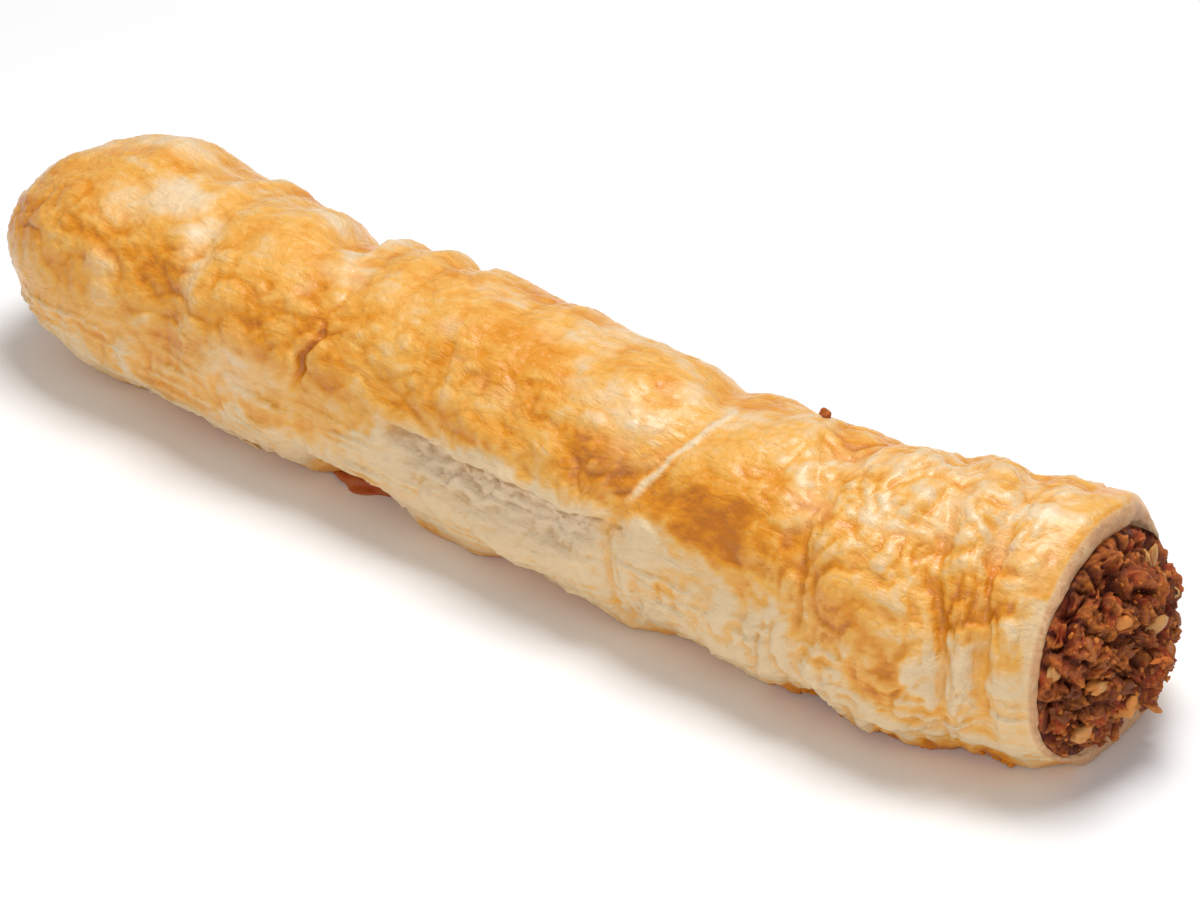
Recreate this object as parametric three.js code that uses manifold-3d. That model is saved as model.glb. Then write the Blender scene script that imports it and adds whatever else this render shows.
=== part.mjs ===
// A long sausage roll: a baked puff pastry tube round a log of minced filling that shows at both ends.
// Millimetres, +Z up. The roll lies along X with its cut end at +X, and the origin is at the middle of its
// base. Angles round the roll are in degrees: 0 faces the front (-Y), 90 the top and 180 the back.
import * as THREE from 'three';
import { mergeVertices } from 'three/addons/utils/BufferGeometryUtils.js';
import Module from 'manifold-3d';

// Driving dimensions of the length and the section.
const FAR_END = -114;
const CUT_END = 110;
const HALF_WIDTH = 22.6;
const HALF_HEIGHT = 22.2;
const BASE_CUT = 3.2; // how much of the round underside the baking tray has flattened
const WALL = 3.2; // baked pastry, at the top and the sides
const FLOOR = 2.6; // baked pastry under the filling
const FIT_GAP = 0.3; // between the pastry and the filling

// The roll was shaped by hand. Entries are [place along the roll, share of the full section] for the girth,
// and [place along the roll, millimetres towards the back] for the winding middle line.
const GIRTHS = [[-120, 0.99], [-98, 0.99], [-69, 0.98], [-30, 0.94], [0, 0.995], [40, 0.95], [65, 0.98], [88, 1.0], [110, 0.95]];
const SPINE = [[-120, 1.9], [-83, 2.6], [-45, -0.9], [-15, -0.4], [30, -3.7], [70, -3.3], [92, 0.5], [110, 3.2]];

// Scores run across the top. at is the place on the crest, lean is how much further along the front lies,
// and puff is how far the pastry swells between this score and the next.
const SCORES = [
  { at: -63, lean: 2, depth: 0.7, puff: 0.9 },
  { at: -38, lean: 3, depth: 1.3, puff: 1.6 },
  { at: -12, lean: 6, depth: 0.6, puff: 0.6 },
  { at: 16, lean: 3, depth: 0.3, puff: 0.6 },
  { at: 43, lean: -10, depth: 1.1, puff: 0.5 },
  { at: 66, lean: 5, depth: 0.8, puff: 0.6 },
  { at: 86, lean: 10, depth: 1.0, puff: 0.9 },
  { at: 97, lean: 5, depth: 0.9, puff: 2.0 },
];
const FAR_PUFF = 1.3;
const BACK_LEAN = -0.4; // share of a score's lean that its back end has
const SCORE_REACH = 1.6; // half the width of a score's valley

// The burst along the front: layers that opened under a lip of the outer sheet.
const BURST = { from: -16, to: 34, lip: 14, foot: -16, depth: 2.2 };

// The skirt along the front of the base, where the pastry spread on the tray.
const SKIRT = { from: 66, to: 102, angle: -52, spread: 16, out: 1.7 };

// Ends. The far end is drawn in over the filling like part of a dome; the cut end leans out at its foot.
const FAR_TUCK = { from: -87, closes: -120, drop: 1.25 };
const CUT_LEAN = { from: 78, foot: 1.8 };
const RIM_ROUND = 0.9;
const CUT_BULGE = { length: 8.5, lump: 0.9 };
const FAR_BULGE = { length: 3.0, lump: 0.3 };

// Fineness of the facets.
const ANGLE_STEP = 12;
const LOBE_STEP = 7.5;
const BORE_STEP = 14;
const TUCK_RINGS = 5;
const DOME_RINGS = 5;

const radians = THREE.MathUtils.degToRad;
const { clamp, lerp, smoothstep } = THREE.MathUtils;

// Eased interpolation through [place, value] pairs.
function interpolate(pairs, place) {
  if (place <= pairs[0][0]) return pairs[0][1];
  for (let i = 1; i < pairs.length; i++) {
    const [a, low] = pairs[i - 1];
    const [b, high] = pairs[i];
    if (place <= b) return lerp(low, high, smoothstep(place, a, b));
  }
  return pairs[pairs.length - 1][1];
}

// How far a point at this angle follows a score's lean: all of it at the front, none at the top.
function leanShare(angle) {
  const c = Math.cos(radians(angle));
  return c > 0 ? c * c : BACK_LEAN * c * c;
}

// Along the roll, the place of ring `along` at an angle, because the rings lie along the scores.
function placeAt(along, angle) {
  const leans = SCORES.map((score) => [score.at, score.lean]);
  const pairs = [[FAR_END, 0], ...leans, [CUT_END, 0]];
  const cutLean = CUT_LEAN.foot * smoothstep(along, CUT_LEAN.from, CUT_END);
  return along + interpolate(pairs, along) * leanShare(angle) - cutLean * Math.sin(radians(angle));
}

// The puffed crown between two scores, 0 at each score.
function crownAt(along) {
  const stops = [FAR_TUCK.closes, ...SCORES.map((score) => score.at), CUT_END];
  const puffs = [FAR_PUFF, ...SCORES.map((score) => score.puff)];
  const i = Math.max(1, stops.findIndex((stop) => stop >= along));
  const t = (2 * (along - stops[i - 1])) / (stops[i] - stops[i - 1]) - 1;
  return puffs[i - 1] * (1 - Math.abs(t) ** 2.4);
}

// The valleys of the scores.
function valleyAt(along) {
  return SCORES.reduce((sum, score) => {
    const t = (along - score.at) / SCORE_REACH;
    return sum + score.depth * Math.exp(-t * t);
  }, 0);
}

// Relief fades towards the base, which lay on the tray.
function reliefShare(angle) {
  return smoothstep(Math.sin(radians(angle)), -0.85, -0.2);
}

// The hollow of the burst, deepest right under its lip.
function burstAt(place, angle) {
  const run = 14;
  const rise = smoothstep(place, BURST.from, BURST.from + run);
  const fall = smoothstep(place, BURST.to - run, BURST.to);
  const down = (BURST.lip - angle) / (BURST.lip - BURST.foot);
  if (down < 0 || down > 1) return 0;
  return BURST.depth * rise * (1 - fall) * Math.sin(Math.PI * Math.sqrt(down)) ** 1.2;
}

function skirtAt(place, angle) {
  const run = 12;
  const rise = smoothstep(place, SKIRT.from, SKIRT.from + run);
  const fall = smoothstep(place, SKIRT.to - run, SKIRT.to);
  return SKIRT.out * rise * (1 - fall) * Math.exp(-(((angle - SKIRT.angle) / SKIRT.spread) ** 2));
}

// The share of the section left where the far end is drawn in.
function tuckAt(along) {
  const q = clamp((FAR_TUCK.from - along) / (FAR_TUCK.from - FAR_TUCK.closes), 0, 1);
  return 1 - FAR_TUCK.drop * (1 - Math.sqrt(1 - q * q));
}

// A point of the section, `inset` inside the smooth outline and raised by `relief`.
function sectionPoint(along, angle, inset, relief) {
  const share = interpolate(GIRTHS, along) * tuckAt(along);
  const across = HALF_WIDTH * share - inset + relief;
  const upward = HALF_HEIGHT * share - inset + relief;
  return new THREE.Vector3(
    placeAt(along, angle),
    interpolate(SPINE, along) - across * Math.cos(radians(angle)),
    HALF_HEIGHT - BASE_CUT + upward * Math.sin(radians(angle)),
  );
}

function crustPoint(along, angle, inset = 0) {
  const place = placeAt(along, angle);
  const relief = (crownAt(along) - valleyAt(along)) * reliefShare(angle);
  return sectionPoint(along, angle, inset, relief - burstAt(place, angle) + skirtAt(place, angle));
}

// The bore of the pastry, or with a gap the skin of the filling in it. Its floor is flat.
function borePoint(along, angle, gap = 0) {
  const point = sectionPoint(along, angle, WALL + gap, 0);
  point.z = Math.max(point.z, FLOOR + gap);
  return point;
}

// Angles round the roll, with more of them across the burst.
function angleStations() {
  const stations = [];
  const fine = (BURST.lip - BURST.foot) / 4;
  for (let angle = BURST.foot; angle < BURST.lip + 0.1; angle += fine) stations.push(angle);
  const rest = 360 - (BURST.lip - BURST.foot);
  const count = Math.round(rest / ANGLE_STEP);
  for (let i = 1; i < count; i++) stations.push(BURST.lip + (rest * i) / count - 360);
  return stations.sort((a, b) => a - b);
}

// Places evenly spread from one to another, both included.
function spread(first, last, step) {
  const count = Math.max(1, Math.round((last - first) / step));
  return Array.from({ length: count + 1 }, (_, k) => lerp(first, last, k / count));
}

// Places where the far end is drawn in, closer together towards its opening.
function tuckStations() {
  return Array.from({ length: TUCK_RINGS }, (_, k) => lerp(FAR_END, FAR_TUCK.from, (k / TUCK_RINGS) ** 1.4));
}

// Places along the crust: close together at each score and at both ends.
function crustStations() {
  const shoulder = SCORE_REACH * 1.5;
  const stations = tuckStations();
  let first = FAR_TUCK.from;
  for (const score of SCORES) {
    stations.push(...spread(first, score.at - shoulder, LOBE_STEP), score.at);
    first = score.at + shoulder;
  }
  return [...stations, ...spread(first, CUT_END - RIM_ROUND, LOBE_STEP)];
}

function boreStations() {
  return [...tuckStations(), ...spread(FAR_TUCK.from, CUT_END - RIM_ROUND, BORE_STEP)];
}

// A closed mesh from rings of points. Without poles, the last ring joins the first. Rings of a solid log that
// run towards -X are turned, so that their faces point out and split along the same diagonals as the bore's.
function closeRings(rings, poles = null) {
  const size = rings[0].length;
  const points = rings.flat();
  const faces = [];
  const ringCount = rings.length;
  const joins = poles ? ringCount - 1 : ringCount;
  for (let i = 0; i < joins; i++) {
    for (let j = 0; j < size; j++) {
      const a = i * size + j;
      const b = i * size + ((j + 1) % size);
      const c = ((i + 1) % ringCount) * size + ((j + 1) % size);
      const d = ((i + 1) % ringCount) * size + j;
      if (poles) faces.push(a, b, c, a, c, d);
      else faces.push(a, c, b, a, d, c);
    }
  }
  if (poles) {
    const first = points.push(poles[0]) - 1;
    const last = points.push(poles[1]) - 1;
    const end = (ringCount - 1) * size;
    for (let j = 0; j < size; j++) {
      const next = (j + 1) % size;
      faces.push(first, next, j, last, end + j, end + next);
    }
  }
  const geometry = new THREE.BufferGeometry().setFromPoints(points);
  geometry.setIndex(faces);
  return geometry;
}

// three.js geometry to manifold-3d solid and back, for the one cut that the base needs.
const wasm = await Module();
wasm.setup();

function toSolid(geometry) {
  const bare = geometry.clone();
  bare.deleteAttribute('normal');
  bare.deleteAttribute('uv');
  const merged = mergeVertices(bare);
  return new wasm.Manifold(new wasm.Mesh({
    numProp: 3,
    vertProperties: merged.attributes.position.array,
    triVerts: new Uint32Array(merged.index.array),
  }));
}

function toGeometry(solid) {
  const mesh = solid.getMesh();
  const geometry = new THREE.BufferGeometry();
  geometry.setAttribute('position', new THREE.BufferAttribute(mesh.vertProperties, 3));
  geometry.setIndex(new THREE.BufferAttribute(mesh.triVerts, 1));
  geometry.computeVertexNormals();
  return geometry;
}

// The pastry: outer skin from the far end to the cut end, rim, bore back again, and a flat base.
function makeCrust() {
  const angles = angleStations();
  const ring = (pointAt) => angles.map(pointAt);
  const outer = crustStations().map((along) => ring((angle) => crustPoint(along, angle)));
  const cutRim = [
    ring((angle) => crustPoint(CUT_END, angle, RIM_ROUND)),
    ring((angle) => borePoint(CUT_END, angle, -RIM_ROUND)),
  ];
  const inner = boreStations().reverse().map((along) => ring((angle) => borePoint(along, angle)));
  const body = toSolid(closeRings([...outer, ...cutRim, ...inner]));
  const tray = new THREE.BoxGeometry(3 * CUT_END, 8 * HALF_WIDTH, HALF_HEIGHT);
  tray.translate(0, 0, -HALF_HEIGHT / 2);
  return toGeometry(body.subtract(toSolid(tray)));
}

// Minced meat isn't smooth: a small swell that changes over the face of a dome.
function lump(angle, share) {
  const a = radians(angle);
  return Math.sin(3 * a + 4 * share) * Math.cos(5 * a - 7 * share) + 0.6 * Math.sin(2 * a - 9 * share);
}

// Rings of one domed end, from its edge inwards, and the point at its middle.
function makeDome(end, side, bulge) {
  const angles = angleStations();
  const edge = angles.map((angle) => borePoint(end, angle, FIT_GAP));
  const middle = edge.reduce((sum, point) => sum.add(point), new THREE.Vector3()).divideScalar(edge.length);
  const rings = [];
  for (let i = 1; i <= DOME_RINGS; i++) {
    const share = Math.cos((Math.PI / 2) * (i / (DOME_RINGS + 1)));
    const rise = bulge.length * Math.sqrt(1 - share * share);
    rings.push(edge.map((point, j) => {
      const inward = middle.clone().lerp(point, share);
      inward.x += side * (rise + bulge.lump * share * share * (1 - share) * 6 * lump(angles[j], share));
      return inward;
    }));
  }
  middle.x += side * bulge.length;
  return { rings, middle };
}

// The filling: a log that runs through the bore and swells out of both ends.
function makeFilling() {
  const angles = angleStations();
  const stations = [...boreStations(), CUT_END].reverse();
  const log = stations.map((along) => angles.map((angle) => borePoint(along, angle, FIT_GAP)));
  const far = makeDome(FAR_END, -1, FAR_BULGE);
  const cut = makeDome(CUT_END, 1, CUT_BULGE);
  return closeRings([...cut.rings.reverse(), ...log, ...far.rings], [cut.middle, far.middle]);
}

function makePart(name, geometry, colour, roughness) {
  const material = new THREE.MeshStandardMaterial({ color: colour, roughness, metalness: 0 });
  const mesh = new THREE.Mesh(geometry, material);
  mesh.name = name;
  return mesh;
}

const roll = new THREE.Group();
roll.add(makePart('crust', makeCrust(), 0xe0a85a, 0.45));
roll.add(makePart('filling', makeFilling(), 0x7a3a22, 0.6));

// The origin goes to the middle of the base.
const box = new THREE.Box3().setFromObject(roll);
const centre = box.getCenter(new THREE.Vector3());
roll.children.forEach((mesh) => mesh.geometry.translate(-centre.x, -centre.y, -box.min.z));

export default roll;
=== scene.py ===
"""A long sausage roll, laid out as an add-on: baked puff pastry round minced meat, with crumbs, flakes and a
leak of juice, on a pale floor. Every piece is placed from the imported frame; lengths in the code are in
millimetres and the finished meshes are in metres."""
import math
from collections import namedtuple
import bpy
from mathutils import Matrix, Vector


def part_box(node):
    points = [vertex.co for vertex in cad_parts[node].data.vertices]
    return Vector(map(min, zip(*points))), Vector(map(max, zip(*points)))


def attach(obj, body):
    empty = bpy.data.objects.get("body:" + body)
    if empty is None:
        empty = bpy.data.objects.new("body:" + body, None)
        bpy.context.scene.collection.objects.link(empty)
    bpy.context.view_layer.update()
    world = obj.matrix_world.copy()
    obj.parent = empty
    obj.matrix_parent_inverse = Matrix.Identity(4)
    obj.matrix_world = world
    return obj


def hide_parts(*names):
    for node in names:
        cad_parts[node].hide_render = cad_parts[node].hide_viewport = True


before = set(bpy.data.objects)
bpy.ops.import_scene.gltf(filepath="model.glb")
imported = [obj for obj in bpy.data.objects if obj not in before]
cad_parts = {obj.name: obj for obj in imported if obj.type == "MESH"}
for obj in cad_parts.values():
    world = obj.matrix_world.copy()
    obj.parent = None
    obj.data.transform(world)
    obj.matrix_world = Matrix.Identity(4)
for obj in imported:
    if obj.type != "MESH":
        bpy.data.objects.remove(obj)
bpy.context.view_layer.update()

from types import SimpleNamespace

import bmesh
import bpy
import numpy as np
from bpy.props import FloatProperty, FloatVectorProperty, IntProperty, PointerProperty
from bpy.types import Operator, Panel, PropertyGroup
from mathutils import Matrix, Vector

bl_info = {
    "name": "Sausage roll",
    "version": (1, 0, 0),
    "blender": (4, 5, 0),
    "location": "View3D > Sidebar > Sausage roll",
    "description": "Builds a baked sausage roll with its crumbs, and a stage to look at it on",
    "category": "Object",
}

MM = 0.001
DEGREE_ROUND = 0.39  # millimetres round the skin for each degree
AXIS_HEIGHT = 19.0  # height of the roll's axis over the tray

# The roll's shape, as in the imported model. A list of pairs is (place along the roll, value).
FAR_END, CUT_END = -114.0, 110.0
BASE_CUT, FLOOR, RIM_ROUND = 3.2, 2.6, 0.9
GIRTHS = ((-120, 0.99), (-98, 0.99), (-69, 0.98), (-30, 0.94), (0, 0.995), (40, 0.95), (65, 0.98), (88, 1.0),
          (110, 0.95))
SPINE = ((-120, 1.9), (-83, 2.6), (-45, -0.9), (-15, -0.4), (30, -3.7), (70, -3.3), (92, 0.5), (110, 3.2))
# Each score: place on the crest, lean of its front end, depth, and how far the pastry beyond it puffs up.
SCORES = ((-63, 2, 0.7, 0.9), (-38, 3, 1.3, 1.6), (-12, 6, 0.6, 0.6), (16, 3, 0.3, 0.6), (43, -10, 1.1, 0.5),
          (66, 5, 0.8, 0.6), (86, 10, 1.0, 0.9), (97, 5, 0.9, 2.0))
# How far the pastry beyond each score stands over its edge.
STEPS = (1.0, -1.2, 0.8, 0.4, 0.8, 0.8, -0.9, -0.7)
# Where each score is a sharp crease: from angle, to angle, depth.
CREASES = ((40, 70, 0.3), (8, 100, 0.45), (26, 62, 0.2), (80, 100, 0.1), (-30, 22, 0.6), (0, 58, 1.0),
           (-16, 62, 1.4), (-14, 66, 1.2))
# How each score bends round the roll: [angle, millimetres along]. Behind the crest they all sweep back.
SWEEP = ((85, 0), (111, -5.2), (125, -7.5), (150, -7.5), (190, 0))
BENDS = (SWEEP,
         ((10, -0.9), (25, 0.5), (45, 3.5), (63, 5.0), (78, 1.9), (92, -1.5), (111, -5.4), (125, -7), (150, -7),
          (190, 0)),
         ((-10, 0), (20, 2.5), (46, 3.8), (73, 3.6), (92, -1.5), (111, -6.3), (125, -7.5), (150, -7.5), (190, 0)),
         SWEEP, SWEEP, SWEEP, SWEEP, ((85, 0), (111, -3.5), (125, -5.5), (150, -5.5), (190, 0)))
VALLEYS = (0.3, 0.4, 0.3, 0.4, 0.8, 1.0, 1.0, 1.0)  # how much of each valley is left below the crest
SOFT_SCORES = (0, 2, 3)  # the scores with the shallower valleys
FAR_PUFF, BACK_LEAN, SCORE_REACH = 1.3, -0.4, 3.2
BURST_FROM, BURST_TO, BURST_LIP, BURST_FOOT, BURST_DEPTH = -16, 34, 14, -16, 2.2
SKIRT_FROM, SKIRT_TO, SKIRT_ANGLE, SKIRT_SPREAD, SKIRT_OUT = 66, 102, -52, 16, 1.7
TUCK_FROM, TUCK_CLOSES, TUCK_DROP = -87, -120, 1.25
LEAN_FROM, LEAN_FOOT = 78, 1.8
CUT_BULGE, FAR_BULGE = 8.5, 3.0

# Where the back of the crest, and the front edge on the tray, lie a little in or out: place along, amount.
CREST_TRIM = ((-114, 0.5), (-92, 0), (-86, 0.5), (-80, -1.5), (-74, -1), (-70, 1), (-65, -1), (-59, -1),
              (-53, 0.5), (-48, 0), (-43, -3), (-38, 0), (-33, -1), (-27, 1), (-22, -0.5), (-17, 1), (-12, 0),
              (-2, -1.5),
              (3, 0.5), (42, 0.5), (51, -1), (58, 0), (67, -2.5), (76, 0), (90, 0.5), (101, 0), (107, 1.5),
              (110, -1.5))
TRAY_TRIM = ((-114, -1), (-100, 0), (-93, 0.5), (-84, 0.5), (-77, -1), (-62, 0), (-45, -0.5), (-39, 0.5),
             (-33, -2.5), (-19, -3), (-14, 2), (-9, 2), (0, 1), (6, -1.5), (16, -2), (22, -0.5), (33, 1.5),
             (41, 0), (51, -1), (60, 1), (65, -0.5), (70, -2.5), (76, -0.5), (90, 0), (95, -1), (106, 0.5),
             (110, -1.5))

# The lower edge of the egg wash along the front: place along the roll, angle round it.
WASH_EDGE = ((-114, -12), (-98, -18), (-85, -7), (-78, -10), (-71, -34), (-60, -24), (-49, -6), (-44, -17),
             (-33, -10), (-26, -3), (-20, 5), (-13, 12), (-5, 18), (4, 21), (12, 20), (21, 17), (30, 21), (40, 22),
             (50, 18), (58, 13), (64, 9), (70, 13), (74, 8), (80, -3), (84, -14), (88, -18), (91, 0), (94, 12),
             (97, 17), (99, 19), (101, 31), (104, 37), (110, 47))
# Browner places: place along, angle round, reach along, reach round (millimetres), strength.
HOT_SPOTS = ((4, 74, 13, 5, 0.6), (29, 36, 9, 6, 0.85), (51, 33, 11, 7, 1.0), (57, 26, 6, 4, 0.6),
             (-35, 34, 3, 8, 0.8), (-72, 32, 9, 7, 0.6), (-109, 44, 5, 1.6, 1.0), (-104, 36, 6, 7, 0.55),
             (-96, 58, 6, 4, 0.45), (78, 18, 7, 6, 0.6), (85, -8, 4, 4, 0.7), (-91, 12, 6, 5, 0.5),
             (-93, 40, 4, 4, 0.5), (-8, 58, 5, 9, 0.45), (11, 52, 8, 4, 0.5), (88, -4, 3, 6, 0.6),
             (96, 38, 3, 6, 0.45), (103, 34, 3, 3, 0.6), (-50, 36, 9, 5, 0.4), (66, 30, 4, 5, 0.4),
             (-83, 36, 7, 4, 0.35), (72, 30, 6, 5, 0.3), (0, 120, 16, 8, 0.4), (-60, 140, 14, 7, 0.45),
             (60, 135, 18, 8, 0.5), (-95, 120, 9, 8, 0.4), (30, 150, 12, 6, 0.45))
# Paler places the egg wash missed or the next lobe shaded.
PALE_SPOTS = ((-102, 92, 11, 5, 0.5), (-90, 104, 12, 5, 0.5), (-76, 70, 8, 4, 0.9), (-66, 60, 3, 5, 0.8),
              (-62, 45, 2.5, 5, 0.6), (-49, 105, 7, 2, 0.7), (-40, 93, 4, 2.5, 0.8), (-84, 60, 7, 5, 0.4),
              (70, 88, 8, 4, 0.5), (82, 94, 7, 4, 0.5), (88, 72, 4, 6, 0.45), (100, 80, 8, 2.5, 0.5),
              (-47, 12, 8, 5, 0.5), (28, 62, 9, 5, 0.35), (-83, 27, 4, 3, 0.4), (66, 58, 5, 5, 0.35),
              (104, 60, 4, 7, 0.35))


# Larger pale pieces in the cut end: centre, reach each way, seed.
ONION_CHUNKS = (((111.5, -15.2, 24.0), (0.9, 1.5, 1.9), 41), ((112.1, 11.4, 31.0), (0.7, 0.8, 2.6), 42),
                ((114.6, -10.2, 11.6), (1.1, 3.0, 1.3), 43), ((116.2, -9.0, 19.6), (0.7, 1.7, 0.8), 44),
                ((112.8, 14.0, 25.4), (0.7, 0.9, 1.7), 45))

# A kind of scattered bit: its name, the stretch and roughness of its shape, its two colours, how many lie on a
# square metre, their least spacing in metres, their least and greatest size in millimetres, where they may lie,
# seed, fineness of the shape, tilt from the surface, and how far they stand over it in metres.
Bits = namedtuple("Bits", "name stretch rough light dark density spacing smallest largest where seed detail "
                          "tilt sink")


# ---------------------------------------------------------------- numbers that vary over a surface

def smooth(x, a, b):
    """Rises smoothly from 0 at a to 1 at b."""
    t = np.clip((x - a) / (b - a), 0, 1)
    return t * t * (3 - 2 * t)


def eased(pairs, x):
    """A value that eases from each (place, value) pair to the next."""
    out = np.full(np.shape(x), float(pairs[0][1]))
    for (a, low), (b, high) in zip(pairs, pairs[1:]):
        out = np.where(x > a, low + (high - low) * smooth(x, a, b), out)
    return out


def on_line(pairs, x):
    """A value on the straight lines from each (place, value) pair to the next."""
    return np.interp(x, *np.array(pairs, float).T)


def bell(x, middle, reach):
    """1 at the middle, falling away on both sides."""
    return np.exp(-((x - middle) / reach) ** 2)


def noise(points, scale, seed):
    """Gradient noise, about -1 to 1. scale is the size of a feature, one number or one for each axis."""
    rng = np.random.default_rng(seed)
    perm = rng.permutation(256)
    grads = rng.normal(size=(256, 3))
    grads /= np.linalg.norm(grads, axis=1, keepdims=True)
    p = points / np.asarray(scale, float) + rng.uniform(0, 50, 3)
    cell = np.floor(p).astype(int)
    f = p - cell
    w = f * f * f * (f * (f * 6 - 15) + 10)
    total = np.zeros(p.shape[:-1])
    for corner in np.ndindex(2, 2, 2):
        h = perm[(perm[(perm[(cell[..., 0] + corner[0]) & 255] + cell[..., 1] + corner[1]) & 255]
                  + cell[..., 2] + corner[2]) & 255]
        share = np.prod(np.where(np.array(corner) == 1, w, 1 - w), axis=-1)
        total += share * (grads[h] * (f - corner)).sum(-1)
    return total * 1.7


def fractal(points, scale, seed, octaves=3):
    """Layers of noise, each half the size and strength of the last."""
    scale = np.asarray(scale, float)
    total = sum(noise(points, scale / 2 ** k, seed + k) / 2 ** k for k in range(octaves))
    return total / (2 - 2 ** (1 - octaves))


def ridges(points, scale, seed):
    """Narrow raised wrinkles, 0 to 1."""
    return np.clip(1 - 3.2 * np.abs(noise(points, scale, seed)), 0, 1) ** 1.5


def cells(points, scale, seed):
    """Distance to the nearest and second nearest of scattered points, and a random number of the nearest."""
    rng = np.random.default_rng(seed)
    perm = rng.permutation(256)
    places = rng.uniform(0, 1, (256, 3))
    chance = rng.uniform(0, 1, 256)
    p = points / np.asarray(scale, float) + 20
    cell = np.floor(p).astype(int)
    first = np.full(p.shape[:-1], 9.0)
    second = first.copy()
    value = np.zeros(p.shape[:-1])
    for step in np.ndindex(3, 3, 3):
        c = cell + np.array(step) - 1
        h = perm[(perm[(perm[c[..., 0] & 255] + c[..., 1]) & 255] + c[..., 2]) & 255]
        d = np.linalg.norm(p - c - places[h], axis=-1)
        nearer = d < first
        second = np.where(nearer, first, np.minimum(second, d))
        value = np.where(nearer, chance[h], value)
        first = np.where(nearer, d, first)
    return first, second, value


def blurred(field, times):
    """A field over the skin, softened. The angles go round and the ends stay."""
    for _ in range(times):
        field = (field + np.roll(field, 1, 1) + np.roll(field, -1, 1)) / 3
        ends = np.vstack([field[:1], field, field[-1:]])
        field = (ends[:-2] + ends[1:-1] + ends[2:]) / 3
    return field


def normals_of(points):
    """Outward unit normals of a grid of points whose second axis goes round."""
    round_step = np.roll(points, -1, 1) - np.roll(points, 1, 1)
    along_step = np.gradient(points, axis=0)
    n = np.cross(along_step, round_step)
    return n / np.maximum(np.linalg.norm(n, axis=-1, keepdims=True), 1e-9)


# ---------------------------------------------------------------- the shape of the roll

def lean_share(angle):
    """Share of its lean that a score has at an angle. Behind the crest it leans the other way."""
    c = np.cos(np.radians(angle))
    return np.where(c > 0, c * c, BACK_LEAN * c * c)


def place_at(along, angle):
    """Where a point of the skin lies along the roll once its score leans and the cut end slants."""
    leans = ((FAR_END, 0), *((s[0], s[1]) for s in SCORES), (CUT_END, 0))
    return (along + eased(leans, along) * lean_share(angle)
            - LEAN_FOOT * smooth(along, LEAN_FROM, CUT_END) * np.sin(np.radians(angle)))


def crown_at(along):
    """How far the pastry puffs up between two scores."""
    stops = [TUCK_CLOSES, *(s[0] for s in SCORES), CUT_END]
    puffs = [FAR_PUFF, *(s[3] for s in SCORES)]
    out = np.zeros_like(along)
    for a, b, puff in zip(stops, stops[1:], puffs):
        t = np.clip(2 * (along - a) / (b - a) - 1, -1, 1)
        out = np.where((along >= a) & (along <= b), puff * (1 - np.abs(t) ** 2.4), out)
    return out


def straightened(along, angle):
    """Place along the roll as it would be if every score ran straight round it."""
    stops = [FAR_END, *(s[0] for s in SCORES), CUT_END]
    out = along.astype(float)
    for k, bend in enumerate(BENDS):
        out = out - np.interp(along, stops, np.eye(len(stops))[k + 1]) * eased(bend, angle)
    return out


def dips_at(along):
    """How far the skin at each score lies below the puffed lobes beside it."""
    stops = [TUCK_CLOSES, *(s[0] for s in SCORES), CUT_END]
    puffs = [FAR_PUFF, *(s[3] for s in SCORES)]
    middles = [((a + b) / 2, puff) for a, b, puff in zip(stops, stops[1:], puffs)]
    return eased(middles, along) - crown_at(along)


def tuck_at(along):
    """Share of the roll's width that is left where its far end is drawn in."""
    q = np.clip((TUCK_FROM - along) / (TUCK_FROM - TUCK_CLOSES), 0, 1)
    return 1 - TUCK_DROP * (1 - np.sqrt(1 - q * q))


def window(x, low, high, run):
    """0 outside low to high and 1 within, but for an ease as long as run inside each end."""
    return smooth(x, low, low + run) * (1 - smooth(x, high - run, high))


def skirt_at(place, angle):
    """The pastry that spread over the tray at the front, near the cut end."""
    return SKIRT_OUT * window(place, SKIRT_FROM, SKIRT_TO, 12) * bell(angle, SKIRT_ANGLE, SKIRT_SPREAD)


def section(along, angle, inset, relief, half_width, half_height):
    """Points of the section, inset inside the smooth outline and raised by relief."""
    share = eased(GIRTHS, along) * tuck_at(along)
    a = np.radians(angle)
    y = eased(SPINE, along) - (half_width * share - inset + relief) * np.cos(a)
    z = half_height - BASE_CUT + (half_height * share - inset + relief) * np.sin(a)
    return np.stack([place_at(along, angle), y, z], axis=-1)


def jaw_at(along, angle):
    """How far the cut end stands out at its foot, and falls back behind the crest."""
    s, c = np.sin(np.radians(angle)), np.cos(np.radians(angle))
    behind = smooth(-c, 0.2, 0.75) * smooth(s, -0.5, 0.3)
    return (0.8 * smooth(-s, 0.2, 0.8) - 2.4 * behind) * smooth(along, CUT_END - 14, CUT_END)


def bore_points(along, angle, sizes, gap=0.0):
    """The bore of the pastry. At the cut end its wall thins at the front and thickens at the foot."""
    s, c = np.sin(np.radians(angle)), np.cos(np.radians(angle))
    end = smooth(along, CUT_END - 12, CUT_END)
    thin = end * (1 - smooth(s, 0.35, 0.95)) * smooth(s, -0.95, -0.6) * smooth(c, -0.6, 0.2)
    foot = end * smooth(-s, 0.3, 0.8)
    top = end * smooth(s, 0.55, 0.95)
    inset = sizes.wall - 0.5 * end - 1.9 * thin + 1.5 * foot + 0.6 * top + gap
    points = section(along, angle, inset, 0, sizes.half_width, sizes.half_height)
    points[..., 2] = np.maximum(points[..., 2], FLOOR + 2.2 * end + gap)
    return points


def to_frame(points):
    """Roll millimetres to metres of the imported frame, from where the crust lies in it."""
    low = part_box("crust")[0]
    shift = np.array([low[0] - FAR_END * MM, 0.0, 0.0])
    return np.asarray(points) * MM + shift


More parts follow.
